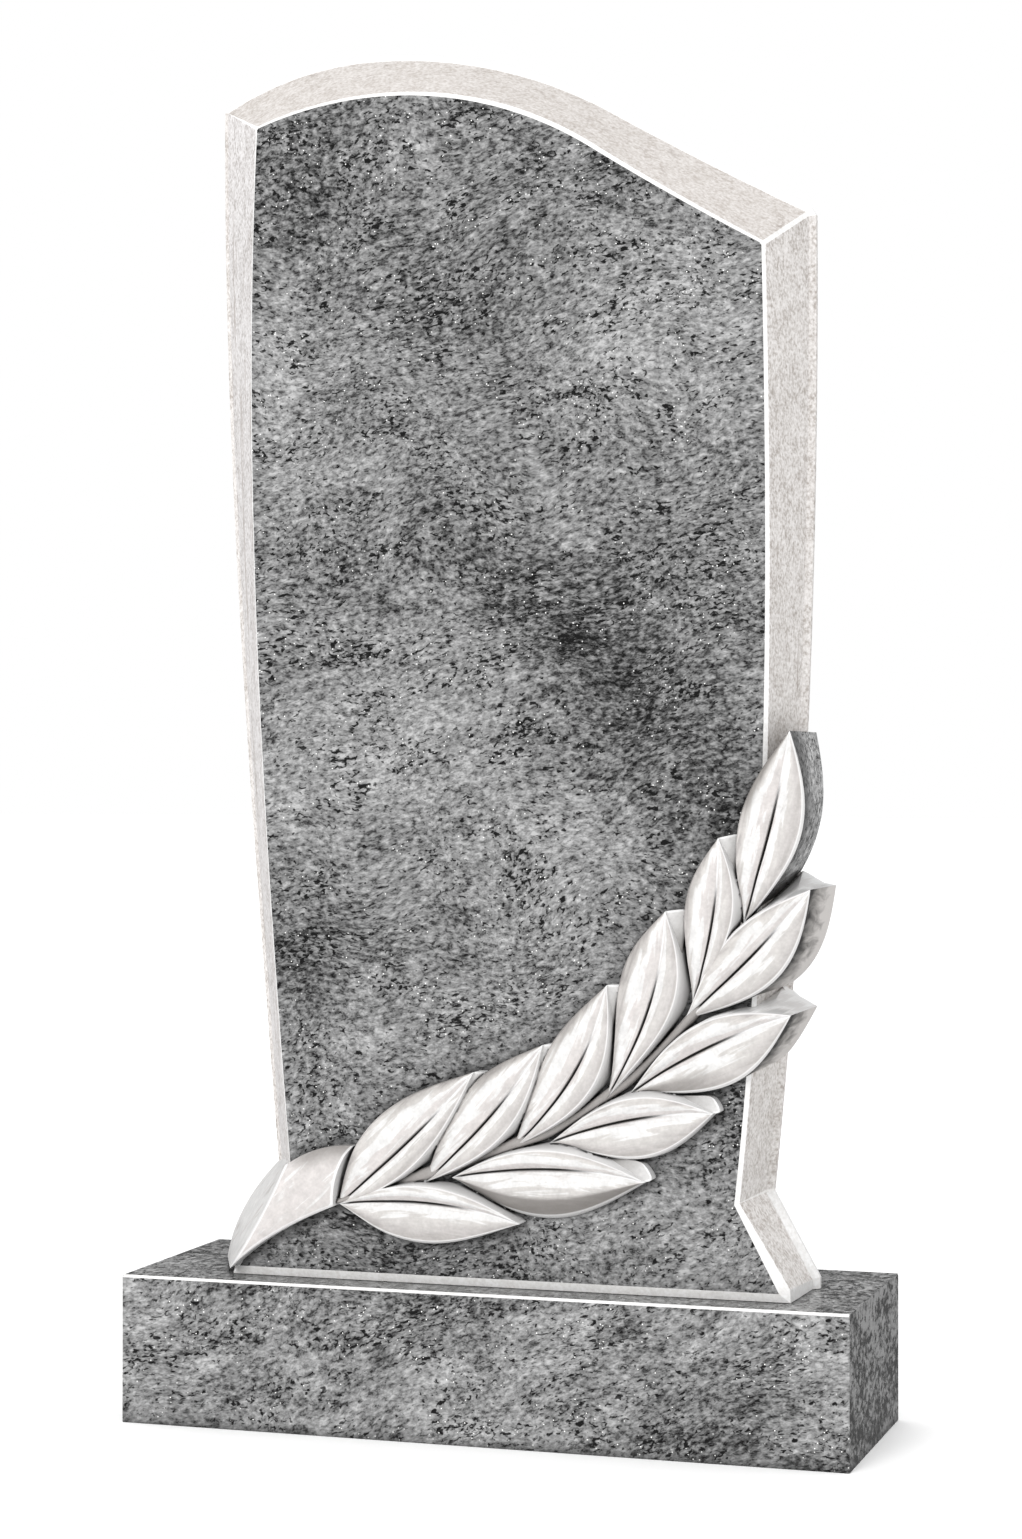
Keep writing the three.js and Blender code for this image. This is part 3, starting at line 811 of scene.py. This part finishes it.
def polishedMarble(name, changes=None):
    p = {**polished, **(changes or {})}
    material, add = newMaterial(name, p["roughness"])
    where = add("TexCoord", out="Object")
    drift = add("TexNoise", {"Vector": where, "Scale": perSize(p["drift"]), "Detail": 1}, "Color")
    flow = add("VectorMath", [drift, [p["driftBy"] * mm] * 3, where], operation="MULTIPLY_ADD")
    turn = (0, -math.radians(p["streakAngle"]), 0)
    streaks = add("Mapping", {"Vector": flow, "Rotation": turn, "Scale": p["stretch"]}, vector_type="TEXTURE")
    noises = {}
    for key, (size, detail, roughness, distortion) in p["noises"].items():
        noises[key] = add("TexNoise", {"Vector": streaks, "Scale": perSize(size), "Detail": detail,
                                       "Roughness": roughness, "Distortion": distortion})
    tone = 0.5
    for key, share in p["shares"].items():
        part = add("Math", [noises[key], share, -0.5 * share], operation="MULTIPLY_ADD")
        tone = add("Math", [part, tone], operation="ADD")
    for x, height, halfLength, halfWidth, angle, amount in p["clouds"]:
        middle = [(c + p["driftBy"] / 2) * mm for c in (x, faceY, height)]
        turn = (0, -math.radians(angle), 0)
        spot = add("Mapping", [flow, middle, turn, (halfLength * mm, 1, halfWidth * mm)],
                   vector_type="TEXTURE")
        soft = add("TexGradient", [spot], "Fac", gradient_type="SPHERICAL")
        tone = add("Math", [soft, amount, tone], operation="MULTIPLY_ADD")
    # dark specks where the swarm is thick
    thick = add("Math", [noises["swarm"], 0.5, -0.25], operation="MULTIPLY_ADD")
    speck = add("Math", [noises["speck"], thick], operation="ADD")
    fromSpeck, toSpeck, depth = p["specks"]
    dark = add("MapRange", [speck, fromSpeck, toSpeck, 0, depth])
    tone = add("Math", [tone, dark], operation="ADD")
    stops = [(position, linear(grey(value))) for position, value in p["tones"]]
    base = add("ValToRGB", [tone], stops=stops)
    # painted glints: a few white dots stand in for crystals that catch the light, most of them in the swarms
    spots = add("TexVoronoi", {"Vector": where, "Scale": perSize(p["glintSpacing"])})
    size = p["glintSize"] / p["glintSpacing"]
    flash = add("MapRange", [spots, size * 0.7, size, 1, 0])
    among = add("MapRange", [noises["swarm"], *p["glintSwarm"]])
    flash = add("Math", [flash, among], operation="MULTIPLY")
    colour = add("Mix", {0: flash, 6: base, 7: linear(p["glintColour"])}, 2, data_type="RGBA")
    # less light gets into the corners beside the carving
    reach = p["cornerReach"] * mm
    corner = add("AmbientOcclusion", {"Color": (1, 1, 1, 1), "Distance": reach}, "AO", samples=6)
    dim = add("MapRange", [corner, 0.45, 0.95, p["cornerLeast"] * p["shade"], p["shade"]])
    if "shadeBesideRim" in p:
        # painted shade: darker near the front of the wall, beside the leaf's rim
        width, least = p["shadeBesideRim"]
        edge = add("Attribute", out="Vector", attribute_name="leafEdge")
        back = add("SeparateXYZ", [edge], "Z")
        cut = add("MapRange", [back, 0.04, width, least, 1], interpolation_type="SMOOTHSTEP")
        dim = add("Math", [dim, cut], operation="MULTIPLY")
    colour = add("VectorMath", {0: colour, "Scale": dim}, operation="SCALE")
    dullness = (p["roughness"] - 0.06, p["roughness"] + 0.08)
    gloss = add("MapRange", [noises["grain"], 0.3, 0.7, *dullness])
    relief = add("Bump", {"Height": noises["grain"], "Strength": 0.1, "Distance": 0.2 * mm})
    return dressed(material, {"Base Color": colour, "Roughness": gloss, "Normal": relief})


# Ground marble: the grinding wheel bruises the crystals, so the same grey stone looks milky white and dull.
ground = {
    "grit": 2.8,  # mm, drawn coarser than the wheel's marks so that they show
    "mottle": 14,
    "vein": 12,
    "veinStretch": 6,  # the veins run along the height
    "veinRange": (0.62, 0.74),  # from this much of the noise on they show, and from there on fully
    "roughness": 0.6,
    "light": "#d4d1cf",
    "mid": "#c2bebb",
    "dark": "#9d9690",
    "veinColour": "#958c86",
    "creaseColour": "#e9e8e6",
}
creaseOverFeet = (74.5, 0.025, 1.4)  # height at the face in mm, rise to the back and half width in mm


def groundMarble(name, changes=None):
    p = {**ground, **(changes or {})}
    material, add = newMaterial(name, p["roughness"])
    where = add("TexCoord", out="Object")
    tall = add("Mapping", {"Vector": where, "Scale": (1, 1, p["veinStretch"])}, vector_type="TEXTURE")
    grit = add("TexNoise", {"Vector": where, "Scale": perSize(p["grit"]), "Detail": 2, "Roughness": 0.6})
    mottle = add("TexNoise", {"Vector": where, "Scale": perSize(p["mottle"]), "Detail": 3,
                              "Roughness": 0.6, "Distortion": 0.4})
    vein = add("TexNoise", {"Vector": tall, "Scale": perSize(p["vein"]), "Detail": 3,
                            "Roughness": 0.6, "Distortion": 0.7})
    tone = add("Math", [mottle, 0.45, -0.225], operation="MULTIPLY_ADD")
    tone = add("Math", [grit, tone], operation="ADD")
    stops = [(0.3, linear(p["dark"])), (0.5, linear(p["mid"])), (0.7, linear(p["light"]))]
    base = add("ValToRGB", [tone], stops=stops)
    line = add("MapRange", [vein, *p["veinRange"], 0, 0.8])
    colour = add("Mix", {0: line, 6: base, 7: linear(p["veinColour"])}, 2, data_type="RGBA")
    if "crease" in p:
        # a light line runs along the crease over the feet
        height, lean, width = p["crease"]
        slope = add("VectorMath", [where, (0, -lean, 1)], "Value", operation="DOT_PRODUCT")
        middle = undersideZ + (height - faceY * lean) * mm
        away = add("Math", [slope, middle], operation="SUBTRACT")
        away = add("Math", [away], operation="ABSOLUTE")
        crease = add("MapRange", [away, width * mm * 0.5, width * mm, 0.6, 0])
        colour = add("Mix", {0: crease, 6: colour, 7: linear(p["creaseColour"])}, 2, data_type="RGBA")
    relief = add("Bump", {"Height": grit, "Strength": 0.35, "Distance": 0.15 * mm})
    return dressed(material, {"Base Color": colour, "Normal": relief})


# Carved marble: chiselled, then rubbed smooth; painted highlights make the swelling halves almost white,
# and painted shade greys the rims, the grooves and the corners.
carved = {
    # painted light and shade across a leaf, from its right or lower rim to its left or upper one:
    # highlights in a band on each half, shade towards the rims and beside the groove
    "across": [(-1, "#a29e9b"), (-0.72, "#afaba9"), (-0.42, "#b6b3b0"), (-0.34, "#c8c7c6"), (-0.1, "#cbcac9"),
               (0.04, "#b9b5b3"), (0.26, "#bcb7b5"), (0.33, "#c9c8c7"), (0.6, "#c7c6c5"), (0.68, "#b7b4b1"),
               (0.85, "#b0aca9"), (1, "#9b9795")],
    "shade": "#6d6965",
    "cornerShadeColour": "#2a2827",
    "grooveShadeColour": "#3a3836",
    "rimHighlightColour": "#dbdbdb",
    "streakWidth": 6,  # mm across the leaf
    "streakLength": 46,  # mm along it
    "streakShift": 0.6,  # how far the streaks shift the tones sideways, as a share of the whole width
    "mottle": 9,
    "mottleTones": (0.9, 1.08),  # the mottling darkens and lightens the tone by this much
    "grit": 2.2,
    "gritTones": (0.94, 1.05),
    "corner": (0.35, 0.8),  # painted shade: a corner is fully grey up to this openness, and not at all from there on
    "ribHalfWidth": 0.95,
    "rimHighlightWidth": 1.3,
    "roughness": 0.45,
}


def carvedMarble(name, changes=None):
    p = {**carved, **(changes or {})}
    material, add = newMaterial(name, p["roughness"])
    where = add("TexCoord", out="Object")
    place, edge, share = (add("Attribute", out="Vector", attribute_name=attribute)
                          for attribute in ("leafPlace", "leafEdge", "leafShare"))
    openness = add("Attribute", out="Fac", attribute_name="openness")
    gaps = add("SeparateXYZ", [edge], None)
    shares = add("SeparateXYZ", [share], None)
    size = (p["streakWidth"] * mm, p["streakLength"] * mm, 1)
    drawn = add("Mapping", {"Vector": place, "Scale": size}, vector_type="TEXTURE")
    streak = add("TexNoise", {"Vector": drawn, "Scale": 1, "Detail": 3, "Roughness": 0.55, "Distortion": 0.9})
    mottle = add("TexNoise", {"Vector": where, "Scale": perSize(p["mottle"]), "Detail": 3, "Roughness": 0.6})
    grit = add("TexNoise", {"Vector": where, "Scale": perSize(p["grit"]), "Detail": 2, "Roughness": 0.5})
    shift = add("Math", [streak, p["streakShift"], 0.5 - p["streakShift"] / 2], operation="MULTIPLY_ADD")
    tone = add("Math", [shares["X"], 0.5, shift], operation="MULTIPLY_ADD")
    stops = [(0.5 + v / 2, linear(colour)) for v, colour in p["across"]]
    base = add("ValToRGB", [tone], stops=stops)
    spots = add("MapRange", [mottle, 0.3, 0.7, *p["mottleTones"]])
    fine = add("MapRange", [grit, 0.3, 0.7, *p["gritTones"]])
    spots = add("Math", [spots, fine], operation="MULTIPLY")
    colour = add("VectorMath", {0: base, "Scale": spots}, operation="SCALE")
    # painted highlight along the rim, painted shade in the corners
    rim = add("MapRange", [gaps["X"], p["rimHighlightWidth"] * 0.4 * mm, p["rimHighlightWidth"] * mm, 0.65, 0])
    deep = add("MapRange", [openness, *p["corner"], 1, 0], interpolation_type="SMOOTHSTEP")
    # painted shade in the groove along the middle, and a painted highlight on the crest where it has run out
    across = add("SeparateXYZ", [place], "X")
    away = add("Math", [across], operation="ABSOLUTE")
    width = p["ribHalfWidth"] * mm
    rib = add("MapRange", [away, width * 0.5, width * 1.3, 1, 0], interpolation_type="SMOOTHSTEP")
    rib = add("Math", [rib, gaps["Y"]], operation="MULTIPLY")
    crest = add("MapRange", [away, width * 0.5, width, 0.8, 0])
    fromGroove = add("Math", [1, gaps["Y"]], operation="SUBTRACT")
    crest = add("Math", [crest, fromGroove], operation="MULTIPLY")
    for amount, key in ((shares["Z"], "shade"), (rim, "rimHighlightColour"), (deep, "cornerShadeColour"),
                        (rib, "grooveShadeColour"), (crest, "rimHighlightColour")):
        colour = add("Mix", {0: amount, 6: colour, 7: linear(p[key])}, 2, data_type="RGBA")
    relief = add("Bump", {"Height": grit, "Strength": 0.3, "Distance": 0.15 * mm})
    return dressed(material, {"Base Color": colour, "Normal": relief})


# Chiselled marble: the walls that the saw and the point left round the carving, darker towards the leaf
wall = {
    "near": "#343231",
    "middle": "#827f7c",
    "far": "#c0bcb9",
    "stretch": (1, 4, 1),  # the marks run into the depth
    "mottle": 9,
    "roughness": 0.5,
}


def wallMarble(name):
    p = wall
    material, add = newMaterial(name, p["roughness"])
    where = add("TexCoord", out="Object")
    edge = add("Attribute", out="Vector", attribute_name="leafEdge")
    back = add("SeparateXYZ", [edge], "Z")
    drawn = add("Mapping", {"Vector": where, "Scale": p["stretch"]}, vector_type="TEXTURE")
    grain = add("TexNoise", {"Vector": drawn, "Scale": perSize(p["mottle"]), "Detail": 3,
                             "Roughness": 0.6, "Distortion": 0.8})
    tone = add("Math", [grain, 1.2, -0.6], operation="MULTIPLY_ADD")
    tone = add("Math", [back, tone], operation="ADD")
    stops = [(0.05, linear(p["near"])), (0.35, linear(p["middle"])), (0.75, linear(p["far"]))]
    base = add("ValToRGB", [tone], stops=stops)
    relief = add("Bump", {"Height": grain, "Strength": 0.3, "Distance": 0.2 * mm})
    return dressed(material, {"Base Color": base, "Normal": relief})


# Sawn marble: the back and the undersides keep the saw's fine level lines and stay dull.
sawn = {
    "lineSpacing": 3.5,  # mm
    "lineLength": 60,  # the lines are this many times as long as they are apart
    "grain": 6,
    "roughness": 0.75,
    "light": "#b7b5b3",
    "dark": "#969492",
}


def sawnMarble(name):
    p = sawn
    material, add = newMaterial(name, p["roughness"])
    where = add("TexCoord", out="Object")
    drawn = add("Mapping", {"Vector": where, "Scale": (p["lineLength"], p["lineLength"], 1)},
                vector_type="TEXTURE")
    lines = add("TexNoise", {"Vector": drawn, "Scale": perSize(p["lineSpacing"]), "Detail": 2,
                             "Roughness": 0.6})
    grain = add("TexNoise", {"Vector": where, "Scale": perSize(p["grain"]), "Detail": 3,
                             "Roughness": 0.6, "Distortion": 0.5})
    tone = add("Math", [lines, grain], operation="ADD")
    half = add("Math", [tone, 0.5], operation="MULTIPLY")
    stops = [(0.35, linear(p["dark"])), (0.65, linear(p["light"]))]
    base = add("ValToRGB", [half], stops=stops)
    relief = add("Bump", {"Height": half, "Strength": 0.5, "Distance": 0.3 * mm})
    return dressed(material, {"Base Color": base, "Normal": relief})


materials = {
    "polished": polishedMarble("MarblePolished"),
    # the polished copies carry painted light and shade: lighter on the plinth's front and top and on the
    # leaf's right wall, darker on the plinth's ends
    "polishedFront": polishedMarble("MarblePolishedFront", {
        "shade": 1.12, "streakAngle": 20, "shares": {"grain": 1.05, "patch": 0.75, "cloud": 0.4},
        "clouds": [(-200, 50, 220, 110, 0, 0.06), (210, 45, 200, 110, 0, -0.085),
                   (140, 100, 45, 28, 20, -0.06), (195, 85, 50, 30, 0, 0.06), (265, 70, 30, 45, 0, 0.05),
                   (175, 12, 60, 20, 0, -0.05), (-120, 95, 60, 25, 0, -0.05)]}),
    "polishedTop": polishedMarble("MarblePolishedTop", {
        "shade": 1.15, "stretch": (1.6, 2.4, 1), "clouds": [],
        "shares": {"grain": 1.8, "patch": 0.6, "cloud": 0.3}}),
    "polishedEnd": polishedMarble("MarblePolishedEnd", {
        "shade": 0.7, "streakAngle": 0, "stretch": (1, 2.2, 1.6), "clouds": [],
        "shares": {"grain": 2.8, "patch": 2.2, "cloud": 0.8}}),
    "polishedWall": polishedMarble("MarblePolishedWall", {
        "shade": 1.84, "streakAngle": 0, "stretch": (1, 2, 1.4), "clouds": [],
        "shadeBesideRim": (0.55, 0.3)}),  # up to this share of the depth, and the least light
    # the ground copies carry painted light and shade: the top is darker, the foot sides lighter, and the
    # bevels lighter still, with painted highlights along the edges
    "side": groundMarble("MarbleGroundSide", {"crease": creaseOverFeet}),
    "leftSide": groundMarble("MarbleGroundLeftSide", {
        "crease": creaseOverFeet, "dark": "#9a9592", "mid": "#bebbba", "light": "#cfcdcd", "vein": 10,
        "veinStretch": 12, "veinRange": (0.56, 0.72)}),
    "footSide": groundMarble("MarbleGroundFootSide", {
        "dark": "#a79f99", "mid": "#cbc7c4", "light": "#dedbd9", "veinColour": "#a39b95"}),
    "top": groundMarble("MarbleGroundTop", {"dark": "#a9a29c", "mid": "#bcb7b3", "light": "#cac6c3"}),
    "bevel": groundMarble("MarbleGroundBevel", {
        "dark": "#d0cfcd", "mid": "#d9d8d7", "light": "#e2e2e2", "veinColour": "#cac9c7"}),
    "footBevel": groundMarble("MarbleGroundFootBevel", {
        "dark": "#ceccca", "mid": "#d7d6d4", "light": "#e0dfdf", "veinColour": "#c9c5c2"}),
    "carved": carvedMarble("MarbleCarved"),
    # painted light and shade on the upper walls of the leaves that go through: a dark line along the blade,
    # then near-white bands
    "upperWall": carvedMarble("MarbleCarvedUpperWall", {
        "cornerShadeColour": "#7a7572",
        "across": [(-0.19, "#45423f"), (-0.12, "#b8b2ae"), (-0.04, "#f4f4f3"), (0.08, "#cdc8c4"),
                   (0.26, "#d3cfcc"), (0.36, "#f6f6f5")]}),
    "wall": wallMarble("MarbleCarvedWall"),
    "sawn": sawnMarble("MarbleSawn"),
}
print("marble surfaces made:", len(materials))


def sharpen(mesh, block=math.radians(8), carving=math.radians(32)):
    # the block's faces meet at crisp edges and shade flat, while the carving is smooth up to a wider angle
    mesh.set_sharp_from_angle(angle=block)
    if "zone" not in mesh.attributes:
        return
    bm = bmesh.new()
    bm.from_mesh(mesh)
    zone = bm.faces.layers.int["zone"]
    for edge in bm.edges:
        if not edge.smooth and any(face[zone] >= zones["leaf"] for face in edge.link_faces):
            edge.smooth = edge.calc_face_angle(math.pi) < carving
    bm.to_mesh(mesh)
    bm.free()


def finishStele():
    mesh = steleObject.data
    zoneOf = markCarving(mesh)
    markCavities(mesh, zoneOf)
    kinds = {"face": "polished", "bevel": "bevel", "side": "side", "back": "sawn", "underside": "sawn",
             "footBevel": "footBevel", "footSide": "footSide", "top": "top", "leftSide": "leftSide"}
    order = [*dict.fromkeys([*kinds.values(), "carved", "upperWall", "wall", "polishedWall"])]
    mesh.materials.clear()
    for key in order:
        mesh.materials.append(materials[key])
    numbers = np.full(len(zoneOf), order.index("carved"))
    for zone, key in kinds.items():
        numbers[zoneOf == zones[zone]] = order.index(key)
    centres = read(mesh.polygons, "center", len(mesh.polygons) * 3).reshape(-1, 3)[:, [0, 2]]
    centres = (centres - [0, undersideZ]) / mm
    for number, leaf in enumerate(leaves):
        if "greyWall" in leaf:
            base, along, side = leafAxes(leaf)
            right = (centres - base) @ side < 0
            walls = zoneOf == zones["leafWall"] + number
            numbers[walls] = order.index("upperWall")
            numbers[walls & right] = order.index(leaf["greyWall"])
    mesh.polygons.foreach_set("material_index", numbers)
    mesh.polygons.foreach_set("use_smooth", np.ones(len(numbers), bool))
    sharpen(mesh)
    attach(steleObject, "root")
    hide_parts("stele")


finishStele()
print("stele finished")


def finishPlinth():
    mesh = plinthObject.data
    order = ["polishedFront", "polishedTop", "polishedEnd", "bevel", "sawn"]
    for key in order:
        mesh.materials.append(materials[key])
    for face in mesh.polygons:
        normal = face.normal
        key = "polishedFront"
        if normal.z < -0.9:
            key = "sawn"
        elif normal.z > 0.9:
            key = "polishedTop"
        elif abs(normal.x) > 0.9:
            key = "polishedEnd"
        elif 0.6 < normal.z < 0.8 and abs(normal.y) > 0.6 and face.area > 0.3 * plinth["arris"] * mm:
            key = "bevel"
        face.material_index = order.index(key)
        face.use_smooth = True
    sharpen(mesh)
    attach(plinthObject, "root")
    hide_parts("plinth")


finishPlinth()
print("plinth finished")

# White studio: a pale floor, an even sky and one large soft light from the front left
studio = {
    "floor": "#fafafa",
    "floorSize": 60,  # m
    "sky": 1.3,
    "skyInStone": 0.25,  # dark cloths over the camera keep the polished stone free of glare
    "keyPlace": (-1.4, -8, 3.2),  # m
    "keyAim": (0, 0, 0.5),
    "keySize": (3, 3),
    "keyPower": 405,  # W
}


def addStudio():
    bpy.ops.mesh.primitive_plane_add(size=studio["floorSize"], location=(0, 0, 0))
    floor = bpy.context.object
    floor.name = "Floor"
    material = newMaterial("PaleFloor", 0.9)[0]
    shader = material.node_tree.nodes["Principled BSDF"]
    shader.inputs["Base Color"].default_value = linear(studio["floor"])
    shader.inputs["Specular IOR Level"].default_value = 0
    floor.data.materials.append(material)
    floor.visible_glossy = False  # no glare from the floor either
    world = bpy.data.worlds.new("Studio")
    world.use_nodes = True
    tree = world.node_tree
    lit = tree.nodes["Background"]
    lit.inputs["Color"].default_value = (1, 1, 1, 1)
    lit.inputs["Strength"].default_value = studio["sky"]
    seen = addNode(tree, "Background", {"Color": (1, 1, 1, 1), "Strength": 1})
    cloth = addNode(tree, "Background", {"Color": (1, 1, 1, 1), "Strength": studio["skyInStone"]})
    path = addNode(tree, "LightPath", out=None)
    both = addNode(tree, "MixShader", [path["Is Glossy Ray"], lit.outputs[0], cloth])
    both = addNode(tree, "MixShader", [path["Is Camera Ray"], both, seen])
    tree.links.new(both, tree.nodes["World Output"].inputs["Surface"])
    bpy.context.scene.world = world
    light = bpy.data.lights.new("Key", "AREA")
    light.shape = "RECTANGLE"
    light.size, light.size_y = studio["keySize"]
    light.energy = studio["keyPower"]
    key = linked("Key", light)
    key.location = studio["keyPlace"]
    key.rotation_euler = (Vector(studio["keyAim"]) - key.location).to_track_quat("-Z", "Y").to_euler()
    key.visible_glossy = False  # the polished face shows no glare in the photo
    bpy.context.scene.view_settings.view_transform = "Standard"


addStudio()
print("studio lit")
